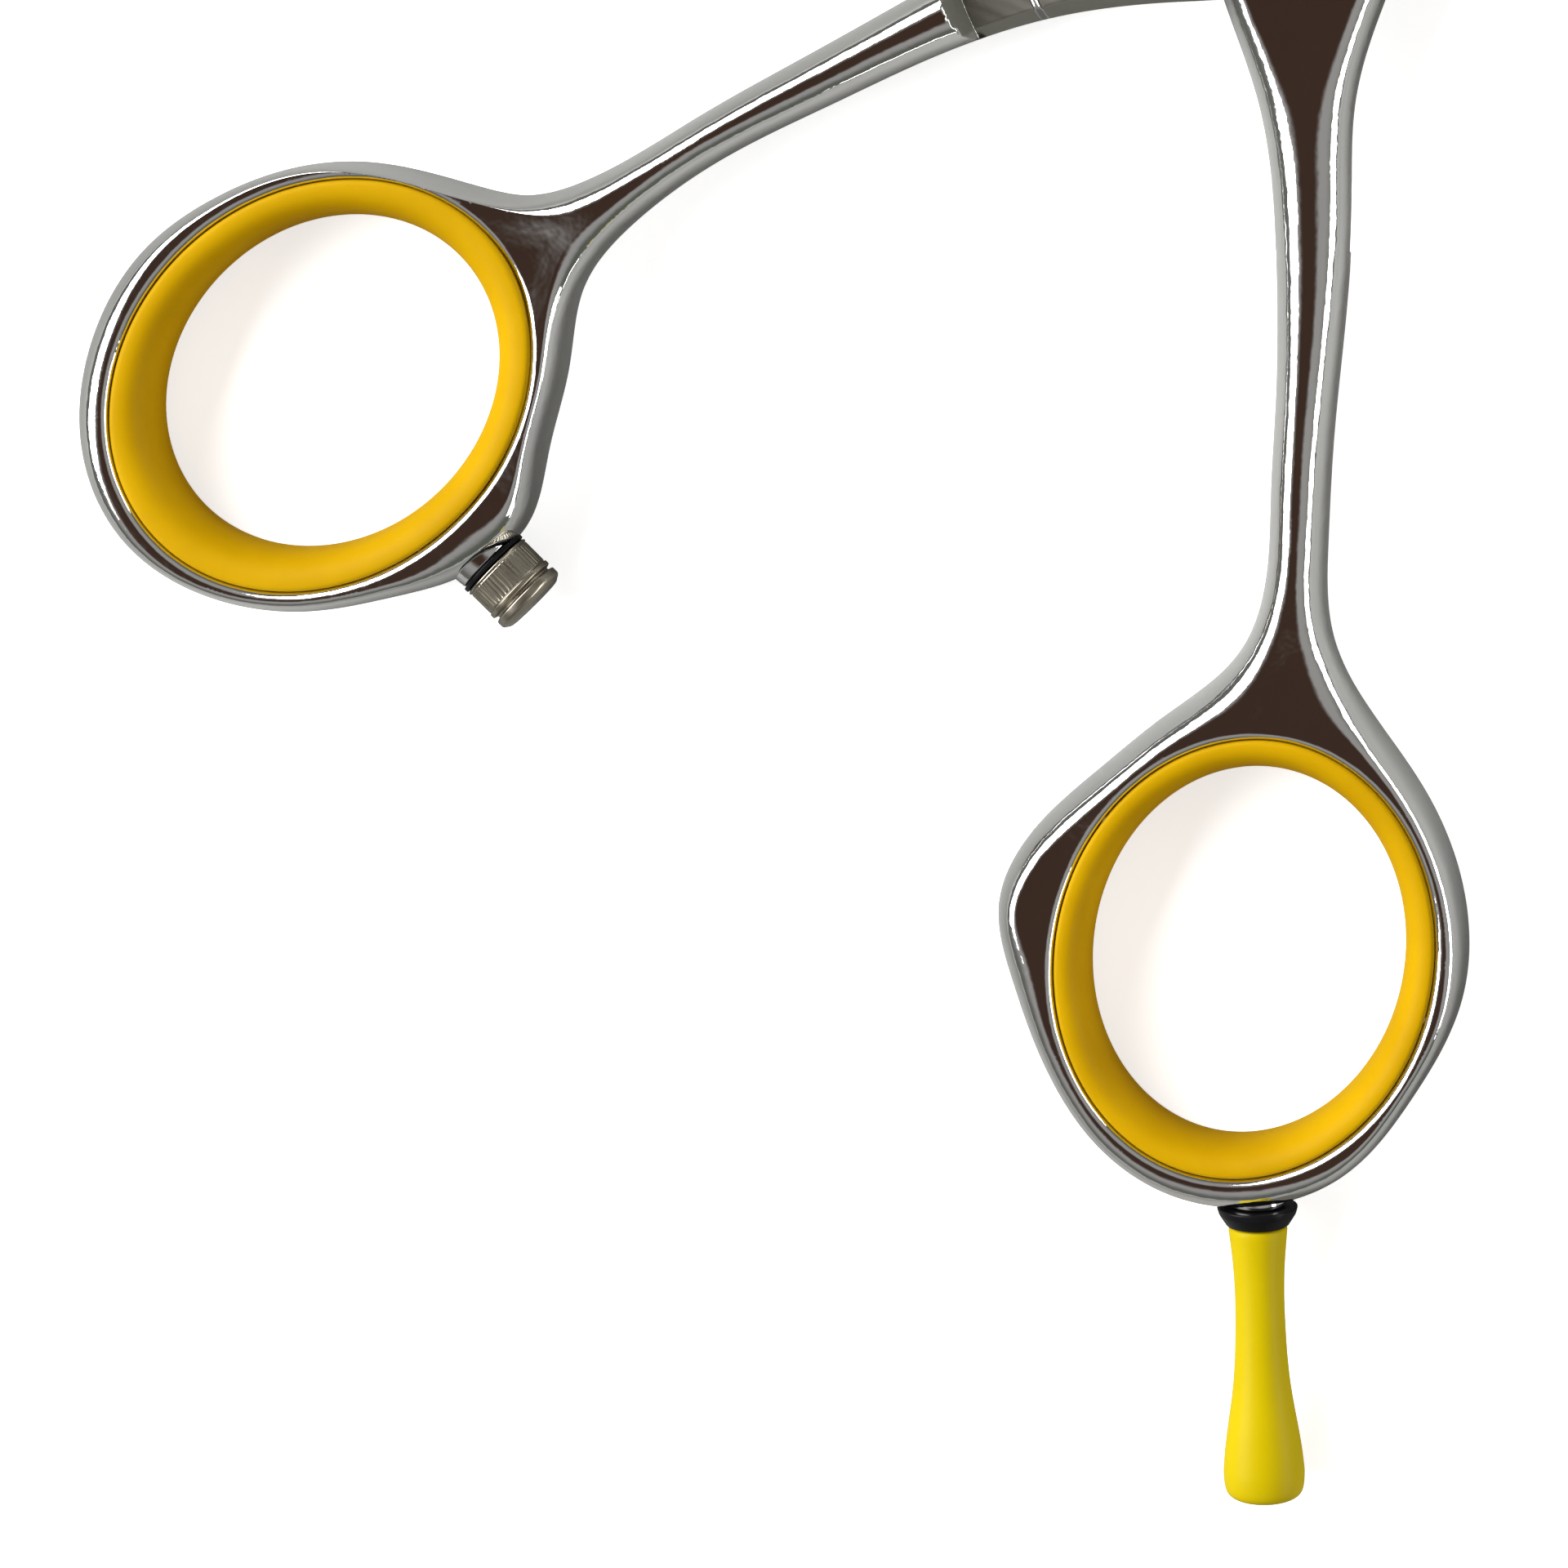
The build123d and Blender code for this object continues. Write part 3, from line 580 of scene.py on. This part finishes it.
ring_centre, ring_radii, ring_turn = THUMB_RING
thumb = Half(
    mirrored(THUMB_OUTLINE)[::-1],
    (tuple(mirrored([ring_centre])[0]), ring_radii, 180 - ring_turn + REST_OPENING - CLOSING_TURN),
    bore=2.8,
    outer_pocket=(4.4, 2.05),
    hollows=[(10.4, -50.3, 3.4, 0.42), (1.4, -60.6, 2.4, 0.16)],
    tight=[(24.5, -67.0, 12.0, 1.7), (12.9, -81.0, 9.0, 1.7)],
)
thumb_forging = thumb.mesh("thumb_forging", thumb_to_row)
stands_for(thumb_forging, "thumb_side", "thumb_half")


# ---- Turned pieces ---------------------------------------------------------------------
def rounded(corners, default=0.12):
    """Profile corners (radius, along[, round]) with each one rounded."""
    most = 0.45                     # share of a side that one round may take
    straight = 1.55                 # half angle, in radians, past which a corner is left as it is
    points = [np.array(c[:2], float) for c in corners]
    rounds = [c[2] if len(c) > 2 else default for c in corners]
    out = [points[0]]
    for i in range(1, len(points) - 1):
        a, b, c = points[i - 1], points[i], points[i + 1]
        u, v = (a - b), (c - b)
        lu, lv = np.hypot(*u), np.hypot(*v)
        u, v = u / lu, v / lv
        half = math.acos(float(np.clip(u @ v, -1, 1))) / 2
        cut = min(rounds[i] / max(math.tan(half), 1e-3), most * lu, most * lv)
        if cut < 1e-3 or half > straight:
            out.append(b)
            continue
        p, q = b + u * cut, b + v * cut
        for t in np.linspace(0, 1, 6):
            out.append((1 - t) ** 2 * p + 2 * t * (1 - t) * b + t * t * q)
    out.append(points[-1])
    return np.array(out)


def lathe(name, profile, seat, steps=96, ripple=None, sharp=32):
    """Turns a profile (radius, along) about an axis; ripple(radius, along, angle) reshapes it.

    seat is the axis's start and direction, and edges sharper than the angle sharp stay sharp.
    """
    origin, axis = seat
    up = axis.cross(Vector((0, 0, 1))).normalized()
    side = up.cross(axis).normalized()
    verts, faces = [], []
    m = len(profile)
    for k in range(steps):
        a = 2 * math.pi * k / steps
        n = (k + 1) % steps
        radial = side * math.cos(a) + up * math.sin(a)
        for radius, along in profile:
            if ripple:
                radius, along = ripple(radius, along, a)
            verts.append((origin + radial * radius + axis * along) * MM)
        faces += [(k * m + i, k * m + i + 1, n * m + i + 1, n * m + i) for i in range(m - 1)]
    me = bpy.data.meshes.new(name)
    me.from_pydata([tuple(v) for v in verts], [], faces)
    bm = bmesh.new()
    bm.from_mesh(me)
    bmesh.ops.remove_doubles(bm, verts=bm.verts, dist=1e-7)
    bmesh.ops.dissolve_degenerate(bm, dist=1e-8, edges=bm.edges)
    bmesh.ops.recalc_face_normals(bm, faces=bm.faces)
    bm.to_mesh(me)
    bm.free()
    me.shade_smooth()
    me.set_sharp_from_angle(angle=math.radians(sharp))
    return link(bpy.data.objects.new(name, me))


def seat_at(base, degrees, turned=0.0):
    """Start and direction of an axis that lies in the mating plane."""
    p = turn([base], turned)[0]
    a = math.radians(degrees + turned)
    return Vector((p[0], p[1], MATE)), Vector((math.cos(a), math.sin(a), 0)).normalized()


STUD_HOLE = 1.26
REST_SEAT = seat_at((26.5, -74.65), -66.3)
STOPPER_SEAT = seat_at((2.0, -64.45), 7.5, -REST_OPENING)

# finger rest: a black tapered collar and a yellow trumpet-shaped peg
collar_profile = rounded([
    (STUD_HOLE, 0.02), (2.43, 0.03, 0.12), (2.3, 0.5, 0.5),
    (1.86, 1.2, 0.15), (STUD_HOLE, 1.21), (STUD_HOLE, 0.02),
], 0.1)
collar = lathe("rest_collar_ring", collar_profile, REST_SEAT)
stands_for(collar, "rest_collar", "finger_rest_collar")

PEG_START = 1.24                # past the collar
peg_foot = np.array([(0.0, 0.03), (1.35, 0.0), (1.6, 0.03), (1.72, 0.12)])
peg_side = spline([(1.76, 0.25), (1.52, 3.0), (1.51, 6.5), (1.76, 10.2), (2.34, 14.2), (2.44, 15.3)], 0.25)
peg_end = spline([(2.44, 15.3), (2.40, 16.1), (2.18, 16.72), (1.7, 16.98), (0.9, 17.06), (0.0, 17.08)], 0.08)
peg_profile = np.vstack([peg_foot, peg_side, peg_end[1:]]) + np.array((0, PEG_START))
peg_profile[-1, 0] = 0
peg = lathe("rest_peg", peg_profile, REST_SEAT, sharp=50)
stands_for(peg, "finger_rest", "finger_rest")

# stopper: a thin black washer under a knurled screw
washer_profile = rounded([
    (STUD_HOLE, 0.02), (2.34, 0.02, 0.06), (2.34, 0.27, 0.06), (STUD_HOLE, 0.27), (STUD_HOLE, 0.02),
])
washer = lathe("stopper_seal", washer_profile, STOPPER_SEAT)
stands_for(washer, "stopper_washer", "stopper_washer")

KNURL_COUNT, KNURL_DEPTH = 48, 0.05
KNURL_SPAN, KNURL_FADE = (0.55, 2.15), 0.15
KNURL_INNER = 2.0               # only the body's side is knurled, which lies outside this radius


def knurl(radius, along, angle):
    low, high = KNURL_SPAN
    if radius > KNURL_INNER and low < along < high:
        fade = min(1, (along - low) / KNURL_FADE, (high - along) / KNURL_FADE)
        radius -= KNURL_DEPTH * (0.5 - 0.5 * math.cos(KNURL_COUNT * angle)) * fade
    return radius, along


stopper_profile = rounded([
    (0.0, 0.29), (2.1, 0.29, 0.1), (2.32, 0.42, 0.1), (2.32, 0.52, 0.05), (2.22, 0.56, 0.04),
    (2.27, 0.64, 0.04),
    *[(2.27, along, 0.02) for along in (0.8, 1.1, 1.4, 1.7, 2.0)],
    (2.26, 2.12, 0.04), (2.22, 2.16, 0.03), (2.34, 2.24, 0.06), (2.34, 2.5, 0.1), (2.05, 2.6, 0.05),
    (2.05, 2.72, 0.05), (2.34, 2.82, 0.1), (2.34, 3.3, 0.25), (1.9, 3.58, 0.25), (0.0, 3.6),
])
stopper = lathe("stopper_head", stopper_profile, STOPPER_SEAT, steps=6 * KNURL_COUNT, ripple=knurl)
stands_for(stopper, "stopper", "stopper_screw")


# ---- Soft ring inserts -----------------------------------------------------------------
def soft_insert(name, ring, turned):
    """Insert whose section is given as (0 at the ring to 1 at the opening, height)."""
    clearance = 0.03
    lip, lip_round, side_round = 0.14, 0.86, 0.92
    half_height = 2.98
    section = [(0.0, -2.72), (0.0, 2.72), (0.02, 2.86), (0.07, 2.95)]
    for q in np.linspace(math.pi / 2, -math.pi / 2, 34):
        s, c = math.sin(q), math.cos(q)
        height = half_height * math.copysign(abs(s) ** side_round, s)
        section.append((lip + (1 - lip) * abs(c) ** lip_round, height))
    section += [(0.07, -2.95), (0.02, -2.86)]
    centre, radii, degrees = ring
    steps, m = 160, len(section)
    verts, faces = [], []
    for k in range(steps):
        t = 2 * math.pi * k / steps
        j = (k + 1) % steps
        for f, z in section:
            a, b = [(r - clearance) * (1 - f) + opening * f for r, opening in zip(radii, INSERT_OPENING)]
            p = turn([(a * math.cos(t), b * math.sin(t))], degrees)[0] + np.array(centre)
            x, y = turn([p], turned)[0]
            verts.append((x * MM, y * MM, (MATE + z) * MM))
        faces += [(k * m + i, j * m + i, j * m + (i + 1) % m, k * m + (i + 1) % m) for i in range(m)]
    me = bpy.data.meshes.new(name)
    me.from_pydata(verts, [], faces)
    me.update()
    me.shade_smooth()
    me.set_sharp_from_angle(angle=math.radians(45))
    return link(bpy.data.objects.new(name, me))


finger_soft = soft_insert("finger_soft_insert", FINGER_RING, 0)
stands_for(finger_soft, "finger_side", "finger_ring_insert")
thumb_soft = soft_insert("thumb_soft_insert", THUMB_RING, -REST_OPENING)
stands_for(thumb_soft, "thumb_side", "thumb_ring_insert")


# ---- Bosses that the rest and the stopper screw into -----------------------------------
def boss(name, seat, radius):
    """Short round boss that ends just short of its seat."""
    profile = [
        (0.0, -2.2), (radius, -2.2, 0.1), (radius, -1.0, 0.3), (radius - 0.08, -0.12, 0.12),
        (radius - 0.2, -0.01, 0.08), (0.0, -0.01),
    ]
    return lathe(name, rounded(profile), seat)


rest_boss = boss("rest_boss", REST_SEAT, 1.85)
stands_for(rest_boss, "finger_side", "finger_half")
stopper_boss = boss("stopper_boss", STOPPER_SEAT, 2.3)
stands_for(stopper_boss, "thumb_side", "thumb_half")


# ---- Materials -------------------------------------------------------------------------
def material(name):
    m = bpy.data.materials.new(name)
    m.use_nodes = True
    nt = m.node_tree
    nt.nodes.clear()
    out = nt.nodes.new("ShaderNodeOutputMaterial")
    b = nt.nodes.new("ShaderNodeBsdfPrincipled")
    nt.links.new(b.outputs[0], out.inputs[0])
    coord = nt.nodes.new("ShaderNodeTexCoord")
    return m, nt, b, coord.outputs["Object"]


def noise(nt, coord, scale, detail, stretch=None):
    if stretch:
        mapping = nt.nodes.new("ShaderNodeMapping")
        mapping.inputs["Scale"].default_value = stretch
        nt.links.new(coord, mapping.inputs["Vector"])
        coord = mapping.outputs[0]
    n = nt.nodes.new("ShaderNodeTexNoise")
    n.inputs["Scale"].default_value = scale
    n.inputs["Detail"].default_value = detail
    n.inputs["Roughness"].default_value = 0.5
    nt.links.new(coord, n.inputs["Vector"])
    return n.outputs["Fac"]


def ramp(nt, value, low, high, a, b):
    r = nt.nodes.new("ShaderNodeValToRGB")
    r.color_ramp.elements[0].position, r.color_ramp.elements[1].position = low, high
    r.color_ramp.elements[0].color, r.color_ramp.elements[1].color = (*a, 1), (*b, 1)
    nt.links.new(value, r.inputs[0])
    return r.outputs[0]


def bump(nt, b, height, strength, distance):
    n = nt.nodes.new("ShaderNodeBump")
    n.inputs["Strength"].default_value = strength
    n.inputs["Distance"].default_value = distance
    nt.links.new(height, n.inputs["Height"])
    nt.links.new(n.outputs[0], b.inputs["Normal"])
    return n


def span(nt, value, low, high):
    r = nt.nodes.new("ShaderNodeMapRange")
    r.inputs["To Min"].default_value, r.inputs["To Max"].default_value = low, high
    nt.links.new(value, r.inputs["Value"])
    return r.outputs[0]


METAL_CLOUDS, SOFT_CLOUDS = 90, 160     # noise scales of the faint change of colour
CLOUD_ENDS = (0.3, 0.7)
SCRATCH_SCALE, SCRATCH_DEPTH = 1400, 0.00002
WAVE_SCALE, WAVE_DEPTH = 800, 0.00012


def metal(name, base, tint, rough, spread, scratches, grain=None, waves=0.0):
    """Metal with cloudy colour, scratches stretched along a grain and, when polished, fine waves."""
    m, nt, b, at = material(name)
    b.inputs["Metallic"].default_value = 1.0
    nt.links.new(ramp(nt, noise(nt, at, METAL_CLOUDS, 4), *CLOUD_ENDS, base, tint), b.inputs["Base Color"])
    fine = noise(nt, at, SCRATCH_SCALE, 3, grain)
    nt.links.new(span(nt, fine, rough - spread, rough + spread), b.inputs["Roughness"])
    first = bump(nt, b, fine, scratches, SCRATCH_DEPTH)
    if waves:
        second = bump(nt, b, noise(nt, at, WAVE_SCALE, 2), waves, WAVE_DEPTH)
        nt.links.new(first.outputs[0], second.inputs["Normal"])
    return m


def soft_material(name, base, tint, rough, spread, scatter, grain, strength, specular=0.5):
    """Rubber or plastic with cloudy colour and a fine moulded grain."""
    m, nt, b, at = material(name)
    nt.links.new(ramp(nt, noise(nt, at, SOFT_CLOUDS, 4), *CLOUD_ENDS, base, tint), b.inputs["Base Color"])
    fine = noise(nt, at, grain, 4)
    nt.links.new(span(nt, fine, rough - spread, rough + spread), b.inputs["Roughness"])
    b.inputs["Specular IOR Level"].default_value = specular
    b.inputs["Subsurface Weight"].default_value = scatter
    b.inputs["Subsurface Radius"].default_value = (1.0, 0.5, 0.1)
    b.inputs["Subsurface Scale"].default_value = 0.0012
    bump(nt, b, fine, strength, 0.00003)
    return m


mirror = metal(
    "mirror_steel", (0.76, 0.76, 0.76), (0.82, 0.82, 0.81),
    rough=0.07, spread=0.03, scratches=0.02, grain=(1, 0.35, 1), waves=0.32,
)
ground = metal(
    "ground_steel", (0.35, 0.35, 0.31), (0.43, 0.43, 0.38),
    rough=0.36, spread=0.07, scratches=0.16, grain=(0.12, 1.8, 1),
)
nickel = metal(
    "satin_nickel", (0.33, 0.30, 0.24), (0.42, 0.38, 0.31), rough=0.30, spread=0.08, scratches=0.12,
)
turned_steel = metal(
    "turned_steel", (0.56, 0.56, 0.57), (0.66, 0.66, 0.66),
    rough=0.22, spread=0.08, scratches=0.12, grain=(0.3, 0.3, 3),
)
hard_steel = metal(
    "hard_steel", (0.62, 0.62, 0.64), (0.72, 0.72, 0.74), rough=0.12, spread=0.04, scratches=0.06,
)
brass = metal(
    "bush_brass", (0.70, 0.52, 0.22), (0.80, 0.62, 0.30), rough=0.25, spread=0.08, scratches=0.1,
)
insert_rubber = soft_material(
    "insert_rubber", (0.475, 0.270, 0.0), (0.54, 0.312, 0.0),
    rough=0.52, spread=0.06, scatter=0.10, grain=2600, strength=0.12, specular=0.06,
)
rest_plastic = soft_material(
    "rest_plastic", (0.50, 0.38, 0.0), (0.55, 0.418, 0.0),
    rough=0.42, spread=0.05, scatter=0.10, grain=1800, strength=0.08, specular=0.10,
)
black_rubber = soft_material(
    "black_rubber", (0.004, 0.004, 0.005), (0.009, 0.009, 0.010),
    rough=0.30, spread=0.05, scatter=0.0, grain=2200, strength=0.10, specular=0.10,
)
nylon = soft_material(
    "washer_nylon", (0.78, 0.76, 0.70), (0.86, 0.85, 0.80),
    rough=0.5, spread=0.06, scatter=0.1, grain=1600, strength=0.1,
)


def dress(o, *materials):
    if o.data.materials:            # clearing an empty list would reset which slot each face uses
        o.data.materials.clear()
    for m in materials:
        o.data.materials.append(m)


for o in (finger_forging, thumb_forging):
    dress(o, mirror, ground)
PIECE_FINISH = [
    (rest_boss, mirror), (stopper_boss, mirror), (finger_soft, insert_rubber), (thumb_soft, insert_rubber),
    (peg, rest_plastic), (collar, black_rubber), (washer, black_rubber), (stopper, nickel),
]
for o, finish in PIECE_FINISH:
    dress(o, finish)
NODE_FINISH = {
    "finger_half": mirror, "thumb_half": mirror,
    "finger_ring_insert": insert_rubber, "thumb_ring_insert": insert_rubber,
    "pivot_screw": turned_steel, "pivot_bush": brass, "thrust_washer": nylon,
    "lower_ball_race": hard_steel, "upper_ball_race": hard_steel,
    "ball_cage": brass, "bearing_balls": hard_steel,
    "click_plate": turned_steel, "click_spring": hard_steel,
    "tension_dial": turned_steel, "dial_retaining_screw": turned_steel,
    "stopper_washer": black_rubber, "stopper_screw": nickel,
    "finger_rest_collar": black_rubber, "finger_rest": rest_plastic, "finger_rest_stud": turned_steel,
}
for node, finish in NODE_FINISH.items():
    dress(frame["nodes"][node], finish)

# ---- Floor, light and camera -----------------------------------------------------------
LEFT = Vector((-0.932, -0.362, 0))      # the picture's left and top, laid on the floor
TOP = Vector((-0.362, 0.932, 0))
MIDDLE = Vector((-0.009, -0.062, 0))    # the lights stand round this point and face it


def floor():
    """Paper that is pale to the eye and mid grey in the steel's reflections."""
    half, drop = 3.0, 0.00002
    me = bpy.data.meshes.new("floor")
    corners = [(-half, -half, -drop), (half, -half, -drop), (half, half, -drop), (-half, half, -drop)]
    me.from_pydata(corners, [], [(0, 1, 2, 3)])
    o = link(bpy.data.objects.new("floor", me))
    m, nt, b, at = material("floor_paper")
    seen = nt.nodes.new("ShaderNodeLightPath").outputs["Is Camera Ray"]
    reflected = ramp(nt, noise(nt, at, 14, 2), 0.35, 0.65, (0.20, 0.20, 0.19), (0.42, 0.42, 0.41))
    pale = ramp(nt, noise(nt, at, 30, 3), *CLOUD_ENDS, (0.93, 0.93, 0.93), (0.95, 0.95, 0.95))
    both = nt.nodes.new("ShaderNodeMix")
    both.data_type = "RGBA"
    nt.links.new(seen, both.inputs[0])
    nt.links.new(reflected, both.inputs[6])
    nt.links.new(pale, both.inputs[7])
    nt.links.new(both.outputs[2], b.inputs["Base Color"])
    b.inputs["Emission Color"].default_value = (1, 1, 1, 1)
    nt.links.new(span(nt, seen, 0.0, 0.65), b.inputs["Emission Strength"])
    b.inputs["Roughness"].default_value = 0.9
    b.inputs["Specular IOR Level"].default_value = 0.1
    dress(o, m)


def panel(name, direction, elevation, distance, size, power):
    data = bpy.data.lights.new(name, "AREA")
    data.shape = "RECTANGLE"
    data.size, data.size_y = size
    data.energy = power
    o = link(bpy.data.objects.new(name, data))
    e = math.radians(elevation)
    d = direction.normalized() * math.cos(e) + Vector((0, 0, math.sin(e)))
    o.location = MIDDLE + d * distance
    o.rotation_mode = "QUATERNION"
    o.rotation_quaternion = (-d).to_track_quat("-Z", "Y")


def world():
    """A grey-green room with a paler upper part and a dark red-brown ceiling overhead."""
    w = bpy.data.worlds.new("studio")
    bpy.context.scene.world = w
    w.use_nodes = True
    nt = w.node_tree
    nt.nodes.clear()
    out = nt.nodes.new("ShaderNodeOutputWorld")
    background = nt.nodes.new("ShaderNodeBackground")
    nt.links.new(background.outputs[0], out.inputs[0])
    towards = nt.nodes.new("ShaderNodeTexCoord").outputs["Generated"]

    def share(direction, low, high):
        """0 to 1 as the dot product with the direction goes from low to high."""
        dot = nt.nodes.new("ShaderNodeVectorMath")
        dot.operation = "DOT_PRODUCT"
        nt.links.new(towards, dot.inputs[0])
        dot.inputs[1].default_value = direction
        n = nt.nodes.new("ShaderNodeMapRange")
        n.interpolation_type = "SMOOTHSTEP"
        n.inputs["From Min"].default_value, n.inputs["From Max"].default_value = low, high
        nt.links.new(dot.outputs["Value"], n.inputs["Value"])
        return n.outputs[0]

    def mix(fac, below, colour):
        n = nt.nodes.new("ShaderNodeMix")
        n.data_type = "RGBA"
        nt.links.new(fac, n.inputs[0])
        nt.links.new(below, n.inputs[6])
        n.inputs[7].default_value = (*colour, 1)
        return n.outputs[2]

    walls = ramp(nt, share(LEFT, -0.6, 0.6), 0, 1, (0.11, 0.12, 0.10), (0.14, 0.14, 0.13))
    upper = mix(share((0.0, 0.0, 1.0), 0.2, 0.7), walls, (0.34, 0.33, 0.32))
    overhead = Vector((-0.05, -0.10, 0.99)).normalized()
    edge, full = math.cos(math.radians(33)), math.cos(math.radians(12))
    ceiling = mix(share(overhead, edge, full), upper, (0.052, 0.030, 0.021))
    nt.links.new(ceiling, background.inputs["Color"])
    background.inputs["Strength"].default_value = 1.0


def camera():
    """Above the shears and a little to the upper right of them, as in the picture."""
    data = bpy.data.cameras.new("camera")
    data.sensor_width = 36
    data.lens = 120.29
    data.clip_start, data.clip_end = 0.01, 10
    o = link(bpy.data.objects.new("camera", data))
    bpy.context.scene.camera = o
    place, aim = Vector((25.22, 19.87, 303.2)) * MM, Vector((-9.18, -62.34, MATE)) * MM
    back = (place - aim).normalized()
    right = TOP.cross(back).normalized()
    up = back.cross(right)
    o.matrix_world = Matrix((
        (right.x, up.x, back.x, place.x),
        (right.y, up.y, back.y, place.y),
        (right.z, up.z, back.z, place.z),
        (0, 0, 0, 1),
    ))


floor()
world()
panel("key", LEFT + 0.45 * TOP, elevation=38, distance=1.1, size=(1.7, 0.75), power=30)
panel("fill", -LEFT, elevation=14, distance=1.2, size=(1.6, 0.4), power=9)
bpy.context.scene.view_settings.view_transform = "Standard"
camera()
